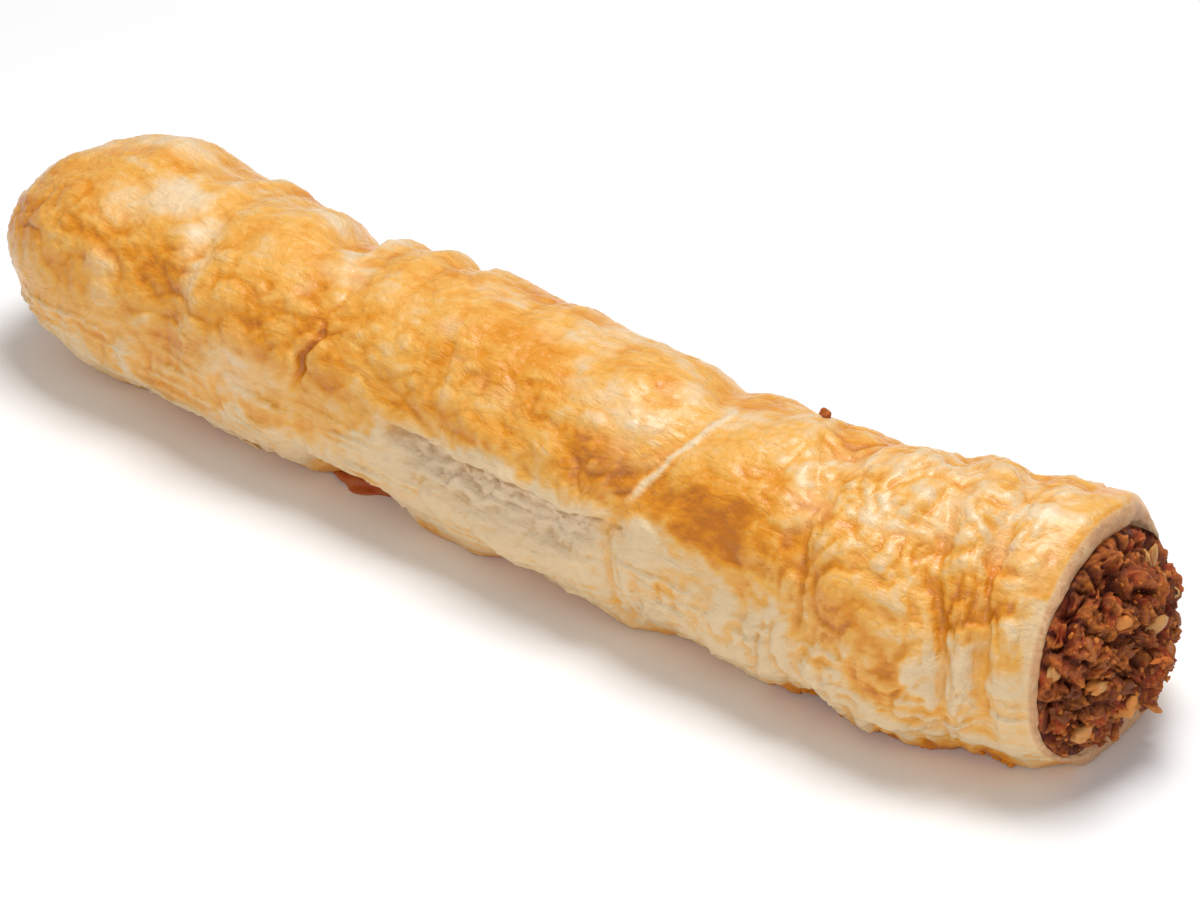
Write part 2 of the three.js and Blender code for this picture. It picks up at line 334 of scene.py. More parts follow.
def ring_angles(bands):
    """Angles round the roll, in bands of (from, to, degrees between points)."""
    return np.concatenate([np.linspace(a, b, round((b - a) / step), endpoint=False) for a, b, step in bands])


# ---------------------------------------------------------------- meshes

def mesh_object(name, points, quads, tris=()):
    """A smooth mesh in the scene, from points in metres and their faces."""
    mesh = bpy.data.meshes.new(name)
    faces = [tuple(map(int, q)) for q in quads] + [tuple(map(int, t)) for t in tris]
    mesh.from_pydata([tuple(p) for p in points], [], faces)
    mesh.shade_smooth()
    mesh.update()
    obj = bpy.data.objects.new(name, mesh)
    bpy.context.scene.collection.objects.link(obj)
    return obj


def grid_quads(rings, size, close=False):
    """Faces between rings of points that each go round. If close, the last ring joins the first."""
    i = np.arange(rings if close else rings - 1)[:, None]
    j = np.arange(size)[None, :]
    ahead = (i + 1) % rings
    a, b = i * size + j, i * size + (j + 1) % size
    c, d = ahead * size + (j + 1) % size, ahead * size + j
    return np.stack([a, d, c, b], axis=-1).reshape(-1, 4)


def paint(mesh, name, values):
    """A colour or a number for each vertex, for the materials to read."""
    values = np.asarray(values, np.float32)
    if values.ndim == 1:
        mesh.attributes.new(name, "FLOAT", "POINT").data.foreach_set("value", values)
    else:
        mesh.attributes.new(name, "FLOAT_COLOR", "POINT").data.foreach_set("color", values.ravel())


def finish_piece(obj, slot, *replaced):
    """Hangs a piece on the root body and hides the imported nodes it stands for. The slot it is given is not used.
    """
    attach(obj, "root")
    if replaced:
        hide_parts(*replaced)
    return obj


# ---------------------------------------------------------------- pastry relief and bake

def burst_relief(place, angle, points):
    """The opened layers along the front, a torn hollow under a lip.

    Gives how far the skin moves out and down, where it is hollow, and the shade under the lip."""
    lip = BURST_LIP + 4.0 * noise(points, (9, 9, 9), 31) + 1.6 * noise(points, (3.2, 3.2, 3.2), 32)
    ragged = place + 2.6 * noise(points, 5.5, 38) + 1.2 * noise(points, 2.0, 39)
    open_here = window(ragged, BURST_FROM - 2, BURST_TO + 2, 9)
    width = (BURST_LIP - BURST_FOOT) * (0.45 + 0.55 * window(place, BURST_FROM - 4, BURST_TO + 3, 20))
    down = (lip - angle) / width
    hollow = np.where((down > 0) & (down < 1), np.sin(np.pi * np.clip(down, 0, 1) ** 0.42) ** 0.9, 0)
    lip_out = bell(angle - lip, 2.5, 2.4)
    bent = angle * DEGREE_ROUND + 2.4 * noise(points, (6, 4, 4), 36) + 1.0 * noise(points, (2.2, 2.2, 2.2), 35)
    torn = (0.7 * ((bent / 2.8) % 1.0) ** 2 + 1.1 * fractal(points, (3.0, 4.5, 3.2), 33)
            + 1.0 * np.abs(noise(points, (5.0, 6, 4.0), 34)))
    shade = (open_here * smooth(down, 0.0, 0.02) * (1 - smooth(down, 0.04, 0.15)) * window(place, 0, 29, 5)
             * np.clip(0.75 + 1.2 * noise(points, 4, 37), 0, 1))
    out = open_here * (-1.1 * BURST_DEPTH * hollow + 0.15 * lip_out + torn * hollow)
    return out, open_here * 0.5 * lip_out, open_here * np.clip(1.2 * hollow, 0, 1), shade


def blister_relief(along, angle, count, seed):
    """Domes where steam lifted the outer sheet."""
    rng = np.random.default_rng(seed)
    out = np.zeros((len(along), len(angle)))
    wrapped = (angle + 90) % 360 - 90  # -90 to 270, so that the join lies under the base
    for _ in range(count):
        u = rng.uniform(FAR_END + 1, CUT_END - 4)
        a = rng.normal(70, 62) if rng.random() < 0.6 else rng.normal(24, 14)
        if not -20 < a < 170:
            continue
        large = rng.random() < (0.10 if u > 52 else 0.012)
        reach = rng.uniform(2.4, 4.2) if large else min(rng.lognormal(-0.10, 0.40), 2.6)
        stretch = rng.uniform(1.0, 1.8)
        turned = rng.uniform(-0.6, 0.6) + (math.pi / 2 if u > 60 and rng.random() < 0.6 else 0.0)
        height = reach * rng.uniform(0.08, 0.25) * (0.85 if large else 1.0)
        span = reach * stretch
        rows = np.flatnonzero(np.abs(along - u) < span)
        columns = np.flatnonzero(np.abs(wrapped - a) * DEGREE_ROUND < span)
        if not len(rows) or not len(columns):
            continue
        ds = (along[rows] - u)[:, None]
        dw = ((wrapped[columns] - a) * DEGREE_ROUND)[None, :]
        e = (ds * math.cos(turned) + dw * math.sin(turned)) / span
        f = (-ds * math.sin(turned) + dw * math.cos(turned)) / reach
        dome = height * np.clip(1 - (e * e + f * f), 0, 1) ** 0.85
        patch = np.ix_(rows, columns)
        out[patch] = np.maximum(out[patch], dome)
    return out


def spots(place, angle, points, entries):
    """Soft irregular patches from (place, angle, reach along, reach round, strength)."""
    ragged = 0.40 * noise(points, 6.0, 71) + 0.18 * noise(points, 2.2, 72)
    out = np.zeros(place.shape)
    for x, a, reach, around, strength in entries:
        d = np.hypot((place - x) / reach, (angle - a) * DEGREE_ROUND / around) + ragged
        out = np.maximum(out, strength * (1 - smooth(d, 0.2, 1.4)))
    return out


def billows(points, scale, seed):
    """Puffs with narrow valleys between them, 0 in the valleys to about 1 on the puffs."""
    return np.clip(np.abs(noise(points, scale, seed)) * 1.8, 0, 1) ** 0.8


def score_relief(along, front, plain):
    """Soft valleys, sharp creases and the step where one lobe rises over the next, of all scores together."""
    valley, crease, step = np.zeros_like(along), np.zeros_like(along), np.zeros_like(along)
    for k, ((at, _, depth, _), rise, fold) in enumerate(zip(SCORES, STEPS, CREASES)):
        d = along - at + 1.3 * noise(plain, 10, 40 + k) + 0.45 * noise(plain, 2.8, 60 + k)
        low, high, sharp = fold
        seen = sharp * window(front, low, high, 9) + 0.45 * min(1, depth) * window(front, 118, 178, 16)
        strength = seen * np.clip(0.8 + 0.7 * noise(plain, 8, 50 + k), 0.2, 1.3)
        share = VALLEYS[k] + (1 - VALLEYS[k]) * smooth(front, 70, 104)
        sunk = (0.7 if k in SOFT_SCORES else 1.1) * depth
        valley += share * sunk * bell(d, 0, SCORE_REACH * (1 + 0.5 * depth))
        crease = np.maximum(crease, strength * np.exp(-np.abs(d) / 0.5))
        step += 0.5 * rise * np.tanh(d / 2.0) * np.exp(-np.abs(d) / 8)
    return valley, crease, step


def skin_grid(sizes):
    """The outer skin as a smooth grid, with what its relief and its bake are worked out from."""
    u = np.concatenate([FAR_END + (TUCK_FROM - FAR_END) * np.linspace(0, 1, 62, endpoint=False) ** 1.15,
                        np.linspace(TUCK_FROM, CUT_END - RIM_ROUND, 368)])
    a = ring_angles(((-62, 150, 1.42), (150, 238, 2.1), (238, 298, 4.3)))
    along, angle = np.meshgrid(u, a, indexing="ij")
    angle = (angle + 180) % 360 - 180  # -180 to 180, with the front at 0
    front = np.where(angle < -120, angle + 360, angle)  # -120 to 240, with the base edge first
    skin = SimpleNamespace(u=u, a=a, along=along, angle=angle, front=front)
    rise = np.sin(np.radians(angle))
    skin.share = smooth(rise, -0.85, -0.2)
    skin.above = smooth(rise, -0.84, -0.62)  # 0 on the base
    skin.washed = smooth(front, -15, 35) * (1 - smooth(front, 150, 190))
    skin.place = place_at(along, angle)
    skin.squeezed = smooth(skin.place, 46, 72) * (1 - 0.8 * smooth(skin.place, 99, 104))
    skin.scored = straightened(along, front)
    skin.crown = crown_at(skin.scored) * skin.share
    skin.plain = section(along, angle, 0, skin.crown, sizes.half_width, sizes.half_height)
    skin.warped = skin.plain + 2.2 * np.stack([noise(skin.plain, 9, seed) for seed in (18, 19, 20)], axis=-1)
    return skin


def washed_relief(skin, sizes):
    """Puffs, blisters and streaks of the washed skin, and strips of wrinkles where it was squeezed."""
    warped, washed, squeezed = skin.warped, skin.washed, skin.squeezed
    lively = np.maximum(0.5 + 0.65 * window(skin.front, 0, 66, 18), squeezed)
    puffs = lively * (0.44 * billows(warped, (8, 5, 5), 4) + 0.17 * billows(warped, (3.6, 2.2, 2.2), 5))
    strips = (0.55 * billows(warped, (5.0, 9, 9), 6) + 0.62 * billows(warped, (3.6, 4.4, 4.4), 7)
              + 0.30 * billows(warped, (1.9, 2.2, 2.2), 38))
    blisters = blister_relief(skin.u, skin.a, sizes.blisters, 11) * (0.35 + 0.65 * washed) * lively
    streaks = 0.12 * ridges(warped, (8, 1.5, 1.5), 8) * washed * (1 - squeezed)
    puffs = puffs * (1 - 0.6 * squeezed) * (0.5 + 0.5 * washed)
    return puffs + strips * squeezed * (0.45 + 0.55 * washed) + blisters + streaks


def side_relief(skin):
    """Ledges of the pastry's layers, and folds that hang low on both sides."""
    front, place, plain, warped = skin.front, skin.place, skin.plain, skin.warped
    low = 1 - smooth(front, -8, 20) * (1 - smooth(front, 165, 195))
    bent = front * DEGREE_ROUND + 1.8 * noise(plain, (16, 6, 6), 12) + 0.6 * noise(plain, (5, 2, 2), 13)
    ledges = 0.8 * (bent / 3.1 % 1.0) ** 2 * np.clip(0.45 + noise(plain, (9, 4, 4), 14), 0, 1)
    draped = (0.5 + 1.0 * smooth(place, 20, 60)) * (1 - 0.85 * smooth(place, 99, 103))
    folds = (1.2 * billows(warped, (4.2, 10, 10), 16) * np.clip(0.6 + noise(plain, 15, 17), 0, 1)
             + 0.40 * billows(warped, (2.4, 3.6, 3.6), 39) - 0.35)
    return low * (ledges + draped * folds)


def lobe_relief(skin):
    """The swelling of the lobes between the scores, and what fills the dips on the left of the front."""
    left = window(skin.along, -98, 42, 14)
    swollen = 0.25 * np.clip(crown_at(skin.scored), 0, 1.1) * window(skin.front, -10, 112, 38) * (1 - left)
    return swollen + 0.9 * dips_at(skin.scored) * skin.share * (1 - smooth(skin.front, 78, 108)) * left


def shape_skin(skin, sizes):
    """Raises the relief on the smooth skin, and keeps the parts of it that the bake follows."""
    front, place, plain, angle = skin.front, skin.place, skin.plain, skin.angle
    valley, skin.crease, step = score_relief(skin.scored, front, plain)
    skin.notch = bell(angle, 27, 12) * bell(skin.scored + 0.5 * noise(plain, 4, 45), -38, 0.85)
    skin.ridge = bell(skin.scored + 0.5 * noise(plain, 5, 44), 43.4, 0.7) * window(front, 24, 100, 12)
    burst_out, burst_down, skin.burst, skin.burst_shade = burst_relief(place, angle, plain)
    lumps = 0.95 * noise(plain, 16, 1) + 0.55 * noise(plain, 7.5, 2) + 0.10 * fractal(plain, 1.5, 15)
    flap = (0.7 * np.tanh((angle + 33 + 4 * noise(plain, 6, 35)) / 1.5) * np.exp(-np.abs(angle + 33) / 9)
            * window(place, 96, 112, 5))
    calm = (1 - 0.75 * skin.burst) * (1 - 0.45 * smooth(front, 84, 108) * smooth(place, 50, 75))
    relief = skin.above * (lumps + lobe_relief(skin) + calm * (washed_relief(skin, sizes) + side_relief(skin))
                           + flap + step - valley - 1.1 * skin.crease - 2.0 * skin.notch + 0.5 * skin.ridge - 0.6)
    relief *= (1 - 0.6 * smooth(skin.along, CUT_END - 5, CUT_END)) * sizes.relief
    relief += on_line(CREST_TRIM, place) * bell(front, 121, 40)
    relief += on_line(TRAY_TRIM, place) * bell(angle, -56, 20)
    relief += 1.8 * (1 - smooth(skin.along, -112, -98)) * window(front, -8, 95, 25)

    # The edge on the tray: spread, torn and crisp.
    skin.edge = bell(angle, -55, 8) + bell(front, 236, 8)
    torn = (np.clip(noise(plain, (2.2, 2.2, 30), 21), 0, 1)
            + np.clip(noise(plain, (6, 6, 30), 22), -0.4, 1) * 1.4)
    relief += skin.edge * torn * (0.35 + 0.65 * window(place, 55, 106, 10)) * (1 - skin.burst)
    skin.relief = relief + burst_out

    deepest = -2.2 - 0.5 * smooth(front, 78, 92) - 0.6 * window(angle, -100, -40, 15)
    spread = skin.crown + skirt_at(place, angle)
    points = section(skin.along, angle, 0, spread, sizes.half_width, sizes.half_height)
    points = points + normals_of(points) * np.maximum(skin.relief, deepest)[..., None]
    a = np.radians(angle)
    points = points + np.stack([0 * a, -np.sin(a), -np.cos(a)], axis=-1) * burst_down[..., None]
    points[..., 0] += jaw_at(skin.along, angle)
    points[..., 2] = np.maximum(points[..., 2], 0.0)
    skin.points = points


def bake_masks(skin):
    """Where the egg wash lies, browner and paler places, painted shade in hollows and creases, raw inner layers
    and the crisp edge.
    """
    front, place, plain, base = skin.front, skin.place, skin.plain, 1 - skin.above
    edge_back = 168 + 14 * noise(plain, (20, 200, 200), 23)
    fray = 8 * noise(plain, 6, 24) + 6 * noise(plain, 2.4, 25)
    wash = smooth(front - on_line(WASH_EDGE, place) + fray, -5, 6)
    wash = wash * (1 - smooth(front - edge_back + fray, -8, 8))
    stray = (smooth(fractal(plain, 10.5, 26, 2) + 0.09 * smooth(place, 40, 70), 0.16, 0.36)
             * smooth(front, -48, -20) * (front < 120))
    wash = np.maximum(wash, 0.75 * stray * (1 - skin.burst))
    wash = np.maximum(wash, base * np.clip(0.6 + 0.8 * noise(plain, 9, 29), 0, 1))

    flank = window(front, 12, 66, 22) + window(front, 122, 168, 20)
    clouds = 0.55 * smooth(fractal(plain, (15, 9, 9), 27), -0.05, 0.45)
    hot = np.maximum(spots(place, front, plain, HOT_SPOTS), clouds) + 0.20 * flank
    hot = hot * np.maximum(wash, base) * (0.82 + 0.18 * smooth(place, -45, 0))
    # The notch is painted brown as well: painted shade in the crack.
    hot = np.maximum(hot, 0.85 * skin.notch) * (1 - 0.8 * skin.ridge)

    missed = 0.65 * smooth(fractal(plain, (12, 9, 9), 28), 0.10, 0.55) * smooth(front, 35, 60) * skin.above
    seams = sum(bell(skin.scored, score[0], 1.5) * np.clip(noise(plain, 8, 80 + k) * 1.5, 0, 1)
                for k, score in enumerate(SCORES)) * smooth(front, 40, 60)
    pale = np.maximum.reduce([spots(place, front, plain, PALE_SPOTS), missed, 1.2 * skin.ridge, 0.7 * seams])
    pale = np.clip(pale, 0, 1) * (1 - skin.notch)

    # Painted shade and highlight: skin lower than its blurred relief is darker and higher skin is paler; the
    # creases and the burst's lip are darkened more.
    relief_shade = (skin.relief - blurred(skin.relief, 6)) * (1 - 0.55 * skin.burst)
    relief_shade = (relief_shade * (0.78 + 0.22 * np.maximum(skin.squeezed, skin.burst)) - 0.45 * skin.burst_shade
              - (0.2 + 0.3 * skin.squeezed) * skin.crease)
    crisp = (bell(skin.angle + 5 * noise(plain, 4, 46), -53, 10) * window(place, 56, 107, 8)
             * np.clip(0.85 + 0.6 * noise(plain, 7, 47), 0, 1))
    return dict(wash=wash, hot=hot, pale=pale, relief_shade=relief_shade, wide=skin.relief - blurred(skin.relief, 40),
                burst=skin.burst, edge=np.maximum(0.3 * skin.edge, crisp) * (skin.points[..., 2] < 9))


def cut_rings(last, angle, sizes):
    """The cut face: rings from the outer skin round the lip to the bore, with layers that show as fine steps."""
    cut = np.full(len(angle), CUT_END)
    bore_edge = bore_points(cut, angle, sizes)
    bore_edge[:, 0] += jaw_at(cut, angle)
    between = (last + bore_edge) / 2
    rings = []
    for k, t in enumerate(np.linspace(0, 1, 9)[1:]):
        ring = last * (1 - t) + bore_edge * t
        out = RIM_ROUND * math.sin(math.pi * min(1.0, t * 1.15)) ** 0.6
        ragged = 0.35 * noise(between + k * 3.0, 2.0, 90 + k % 3) + 0.30 * noise(between, 6.0, 93)
        ring[:, 0] += out + ragged * math.sin(math.pi * t)
        rings.append(ring)
    return rings


def make_crust_mesh(sizes):
    """The pastry as one closed tube of outer skin, cut face and bore."""
    skin = skin_grid(sizes)
    shape_skin(skin, sizes)
    masks = bake_masks(skin)
    size = len(skin.a)
    angle = (skin.a + 180) % 360 - 180
    rim = cut_rings(skin.points[-1], angle, sizes)
    bore_places = np.concatenate([[FAR_END], np.linspace(FAR_END + 3, TUCK_FROM, 8),
                                  np.linspace(TUCK_FROM + 12, CUT_END - 2, 13)])
    bore = [bore_points(np.full(size, place), angle, sizes) for place in bore_places[::-1]]
    rings = np.concatenate([skin.points, np.array(rim), np.array(bore)])
    obj = mesh_object("pastry", to_frame(rings.reshape(-1, 3)), grid_quads(len(rings), size, close=True))

    def full(mask, rim_value, bore_value):
        """A mask over the skin, with one value on the cut face and one in the bore."""
        return np.concatenate([mask.ravel(), np.full(len(rim) * size, rim_value),
                               np.full(len(bore) * size, bore_value)])

    colour = [full(masks[name], 0.0, 0.0) for name in ("wash", "hot", "pale")]
    paint(obj.data, "bake", np.stack([*colour, np.ones(len(rings) * size)], axis=-1))
    form = [full(0.5 + 1.5 * masks["relief_shade"], 0.45, 0.3), full(masks["burst"], 0.0, 0.0),
            full(masks["edge"], 0.0, 0.0), full(0.5 + 0.35 * masks["wide"], 0.5, 0.4)]
    paint(obj.data, "form", np.clip(np.stack(form, axis=-1), 0, 1))
    paint(obj.data, "cut", full(np.zeros(skin.along.size), 1.0, 1.0))
    return obj


# ---------------------------------------------------------------- filling relief

def mince_relief(points, depth):
    """Coarse mince: clumps torn into shreds, with deep gaps between. Returns height, clump, gap and shred."""
    warped = points + 2.0 * np.stack([noise(points, 4.5, s) for s in (101, 102, 103)], axis=-1)
    near, second, clump = cells(warped, 6.2, 104)
    gap = 1 - smooth(second - near, 0.0, 0.36)
    strands = np.clip(1 - 1.8 * np.abs(noise(warped, (3.0, 3.4, 2.2), 105)), 0, 1)
    threads = np.clip(1 - 1.8 * np.abs(noise(warped, (1.8, 1.5, 1.2), 107)), 0, 1)
    height = (1.3 * (0.45 - near) + 1.7 * (clump - 0.5) - 1.1 * gap + 0.75 * strands + 0.75 * threads
              + 1.0 * noise(points, 4.2, 108) + 0.55 * fractal(points, 1.5, 106) - 1.1)
    return depth * height, clump, gap, strands


def dome_rings(edge, middle, side, length, count):
    """Rings from an end's edge to just short of its middle, over an end that swells less at its foot."""
    shares = np.cos(np.linspace(0, math.pi / 2, count + 1, endpoint=False)[1:])
    rings = []
    for share in shares:
        ring = middle + (edge - middle) * share
        ring[:, 0] += side * length * math.sqrt(1 - share * share) * (0.45 + 0.55 * smooth(ring[:, 2], 4, 17))
        rings.append(ring)
    return np.array(rings)


def make_filling_mesh(sizes, filling):
    """The minced log, from the dome at the cut end to the one at the far end."""
    angle = np.linspace(-180, 180, filling.around, endpoint=False)
    ones = np.ones(len(angle))
    gap = -0.25  # into the wall, so that no air shows between them
    cut_edge = bore_points(CUT_END * ones, angle, sizes, gap)
    cut_edge[:, 0] += 0.8 * jaw_at(CUT_END * ones, angle)
    far_edge = bore_points(FAR_END * ones, angle, sizes, gap)
    cut_middle, far_middle = cut_edge.mean(0), far_edge.mean(0)
    cut_dome = dome_rings(cut_edge, cut_middle, 1, CUT_BULGE, filling.rings)[::-1]
    far_dome = dome_rings(far_edge, far_middle, -1, FAR_BULGE, filling.rings // 4)
    log = np.array([bore_points(v * ones, angle, sizes, gap)
                    for v in (CUT_END, CUT_END - 2, 100, 80, 60, 40, 20, 0, -20, -45, -70, TUCK_FROM, -93, -99,
                              -104, -108, -111, -113, FAR_END)])
    rings = np.concatenate([cut_dome, log, far_dome])
    flat = rings.reshape(-1, 3)
    height, clump, gap_shade_mask, strands = mince_relief(flat, filling.coarseness)
    height = height.reshape(rings.shape[:2])
    deep = (height - blurred(height, 8)).ravel()
    n = normals_of(rings)
    n = np.where((n * (rings - np.array([0, 0, AXIS_HEIGHT]))).sum(-1, keepdims=True) < 0, -n, n)
    weight = np.zeros(len(rings))
    weight[:len(cut_dome)] = 1 - smooth(np.linspace(0, 1, len(cut_dome)), 0.84, 1.0)
    weight[-len(far_dome):] = 0.6 * smooth(np.linspace(0, 1, len(far_dome)), 0.05, 0.4)
    rings = rings + n * (height * weight[:, None])[..., None]
    points = np.concatenate([rings.reshape(-1, 3), [rings[0].mean(0)], [rings[-1].mean(0)]])
    size = len(angle)
    quads = grid_quads(len(rings), size)[:, ::-1]
    first, last = len(points) - 2, len(points) - 1
    j = np.arange(size)
    after = (j + 1) % size
    end = (len(rings) - 1) * size
    tris = np.concatenate([np.stack([j, after, np.full(size, first)], -1),
                           np.stack([end + after, end + j, np.full(size, last)], -1)])
    obj = mesh_object("mince", to_frame(points), quads, tris)
    looks = np.stack([clump, np.clip(0.5 + 0.7 * deep, 0, 1), strands, np.clip(gap_shade_mask, 0, 1)], axis=-1)
    paint(obj.data, "mince", np.concatenate([looks, looks[:2]]))
    return obj


# ---------------------------------------------------------------- materials

def set_inputs(tree, made, inputs):
    for key, value in inputs.items():
        if isinstance(value, bpy.types.NodeSocket):
            tree.links.new(value, made.inputs[key])
        else:
            made.inputs[key].default_value = value


def node(tree, kind, inputs=None, **settings):
    """A new node with its settings, each input linked or set to a value."""
    made = tree.nodes.new(kind)
    for key, value in settings.items():
        setattr(made, key, value)
    set_inputs(tree, made, inputs or {})
    return made


def mixed(tree, factor, first, second):
    """One colour passing into a second as the factor goes from 0 to 1."""
    made = node(tree, "ShaderNodeMix", data_type="RGBA", clamp_factor=True)
    for index, value in ((0, factor), (6, first), (7, second)):
        if isinstance(value, bpy.types.NodeSocket):
            tree.links.new(value, made.inputs[index])
        else:
            made.inputs[index].default_value = (*value, 1.0) if index else value
    return made.outputs[2]


def maths(tree, operation, first, second=0.0, clamp=False):
    return node(tree, "ShaderNodeMath", {0: first, 1: second}, operation=operation, use_clamp=clamp).outputs[0]


def ranged(tree, value, low, high, out_low=0.0, out_high=1.0):
    """A value moved from one range to another and kept inside it."""
    return node(tree, "ShaderNodeMapRange", {0: value, 1: low, 2: high, 3: out_low, 4: out_high}).outputs[0]


def group_with(name, inputs, outputs):
    """A new node group with these sockets."""
    tree = bpy.data.node_groups.new(name, "ShaderNodeTree")
    for label, kind, default in inputs:
        tree.interface.new_socket(label, in_out="INPUT", socket_type=kind).default_value = default
    for label, kind in outputs:
        tree.interface.new_socket(label, in_out="OUTPUT", socket_type=kind)
    return tree, tree.nodes.new("NodeGroupInput").outputs, tree.nodes.new("NodeGroupOutput").inputs


def grain_group():
    """Fine crumb of anything baked or minced: a height for bump and a mottle for colour, from object places."""
    name = "crumb grain"
    if name in bpy.data.node_groups:
        return bpy.data.node_groups[name]
    tree, given, out = group_with(name, [("Size", "NodeSocketFloat", 1.0), ("Roughness", "NodeSocketFloat", 0.6)],
                                  [("Height", "NodeSocketFloat"), ("Mottle", "NodeSocketFloat")])
    place = node(tree, "ShaderNodeTexCoord").outputs["Object"]
    scale = maths(tree, "DIVIDE", 1000.0, given["Size"])
    fine = node(tree, "ShaderNodeTexNoise", {"Vector": place, "Scale": scale, "Detail": 4.0,
                                             "Roughness": given["Roughness"]}).outputs["Fac"]
    cell = node(tree, "ShaderNodeTexVoronoi", {"Vector": place, "Scale": scale}).outputs["Distance"]
    tree.links.new(maths(tree, "SUBTRACT", fine, maths(tree, "MULTIPLY", cell, 0.35)), out["Height"])
    broad = node(tree, "ShaderNodeTexNoise", {"Vector": place, "Scale": maths(tree, "DIVIDE", scale, 4.0),
                                              "Detail": 3.0}).outputs["Fac"]
    tree.links.new(maths(tree, "ADD", maths(tree, "MULTIPLY", fine, 0.5), maths(tree, "MULTIPLY", broad, 0.5)),
                   out["Mottle"])
    return tree


def browning_group():
    """Oven browning: dough colour to gold to deep brown, by one number from 0 to 1."""
    name = "oven browning"
    if name in bpy.data.node_groups:
        return bpy.data.node_groups[name]
    grey = (0.5, 0.5, 0.5, 1.0)
    tree, given, out = group_with(name, [("Bake", "NodeSocketFloat", 0.5), ("Dough", "NodeSocketColor", grey),
                                         ("Gold", "NodeSocketColor", grey), ("Amber", "NodeSocketColor", grey),
                                         ("Brown", "NodeSocketColor", grey)], [("Color", "NodeSocketColor")])
    golden = mixed(tree, ranged(tree, given["Bake"], 0.0, 0.4), given["Dough"], given["Gold"])
    amber = mixed(tree, ranged(tree, given["Bake"], 0.4, 0.75), golden, given["Amber"])
    brown = mixed(tree, ranged(tree, given["Bake"], 0.75, 1.0), amber, given["Brown"])
    tree.links.new(brown, out["Color"])
    return tree


def place_group(tree, group, inputs):
    """The outputs of a group placed in a tree. The group is set first, because it gives the node its inputs."""
    made = node(tree, "ShaderNodeGroup", node_tree=group)
    set_inputs(tree, made, inputs)
    return made.outputs


def new_material(name):
    material = bpy.data.materials.new(name)
    material.use_nodes = True
    tree = material.node_tree
    return material, tree, tree.nodes["Principled BSDF"]


def bumped(tree, shader, height, distance):
    """Fine relief on a material, distance millimetres deep."""
    bump = node(tree, "ShaderNodeBump", {"Strength": 1.0, "Distance": distance * MM, "Height": height})
    tree.links.new(bump.outputs["Normal"], shader.inputs["Normal"])


def pastry_material(bake):
    """Egg-washed pastry: its colour, gloss and bump follow the bake that is painted on the mesh, with painted
    shade in its hollows, creases and burst and a painted highlight on blister tops.
    """
    material, tree, shader = new_material("egg-washed puff pastry")
    masks = node(tree, "ShaderNodeAttribute", attribute_name="bake")
    split = node(tree, "ShaderNodeSeparateColor", {"Color": masks.outputs["Color"]}).outputs
    form = node(tree, "ShaderNodeAttribute", attribute_name="form")
    parts = node(tree, "ShaderNodeSeparateColor", {"Color": form.outputs["Color"]}).outputs
    cut = node(tree, "ShaderNodeAttribute", attribute_name="cut").outputs["Fac"]
    grain = place_group(tree, grain_group(), {"Size": 1.6, "Roughness": 0.55})
    place = node(tree, "ShaderNodeTexCoord").outputs["Object"]
    stretched = node(tree, "ShaderNodeMapping", {"Vector": place, "Scale": (0.42, 1.0, 1.0)}).outputs[0]
    cloud = node(tree, "ShaderNodeTexNoise", {"Vector": stretched, "Scale": 150.0, "Detail": 6.0,
                                              "Roughness": 0.58, "Distortion": 0.9}).outputs["Fac"]
    brushed = node(tree, "ShaderNodeTexNoise", {"Vector": stretched, "Scale": 620.0, "Detail": 3.0,
                                                "Distortion": 1.5}).outputs["Fac"]
    # Pits, creases, broad low ground and the flanks of blisters are painted browner as painted shade; the tops of
    # blisters are painted paler as a painted highlight.
    hollow = maths(tree, "SUBTRACT", ranged(tree, parts[0], 0.80, 0.20), 0.5)
    low_ground_shade = maths(tree, "SUBTRACT", 0.5, form.outputs["Alpha"])
    shares = ((split[0], 0.36), (split[1], 0.50), (split[2], -0.34), (parts[2], 0.95),
              (maths(tree, "MULTIPLY", hollow, ranged(tree, split[0], 0.0, 1.0, 0.26, 0.34)), 1.0),
              (low_ground_shade, 0.28),
              (maths(tree, "MULTIPLY", maths(tree, "SUBTRACT", cloud, 0.5),
                     ranged(tree, split[0], 0.0, 1.0, 0.45, 0.95)), 1.0),
              (maths(tree, "SUBTRACT", brushed, 0.5), 0.28))
    bake_level = 0.04
    for value, weight in shares:
        bake_level = maths(tree, "ADD", bake_level, maths(tree, "MULTIPLY", value, weight))
    shades = {label: (*getattr(bake, label.lower()), 1) for label in ("Dough", "Gold", "Amber", "Brown")}
    level = maths(tree, "ADD", bake_level, 0.0, clamp=True)
    colour = place_group(tree, browning_group(), {"Bake": level, **shades})["Color"]
    colour = mixed(tree, maths(tree, "MULTIPLY", split[2], 0.55), colour, bake.pale)
    # The burst's layers turn to a painted shade colour where the relief is deep, under the lip.
    layers_with_shade = mixed(tree, ranged(tree, parts[0], 0.0, 0.40), bake.burst_shade_colour, bake.layers)
    colour = mixed(tree, maths(tree, "MULTIPLY", parts[1], 0.85), colour, layers_with_shade)
    face = mixed(tree, ranged(tree, grain["Mottle"], 0.50, 0.82), bake.cut_face, bake.dough)
    colour = mixed(tree, cut, colour, face)
    tree.links.new(colour, shader.inputs["Base Color"])
    tree.links.new(ranged(tree, split[0], 0.0, 1.0, 0.58, 0.34), shader.inputs["Roughness"])
    tree.links.new(ranged(tree, split[0], 0.1, 0.9, 0.04, 0.32), shader.inputs["Coat Weight"])
    shader.inputs["Coat Roughness"].default_value = 0.17
    shader.inputs["Specular IOR Level"].default_value = 0.28
    shader.inputs["Subsurface Weight"].default_value = 0.10
    shader.inputs["Subsurface Radius"].default_value = (1.0, 0.55, 0.25)
    shader.inputs["Subsurface Scale"].default_value = 1.5 * MM
    bumped(tree, shader, maths(tree, "ADD", grain["Height"], maths(tree, "MULTIPLY", brushed, 0.9)), 0.38)
    return material


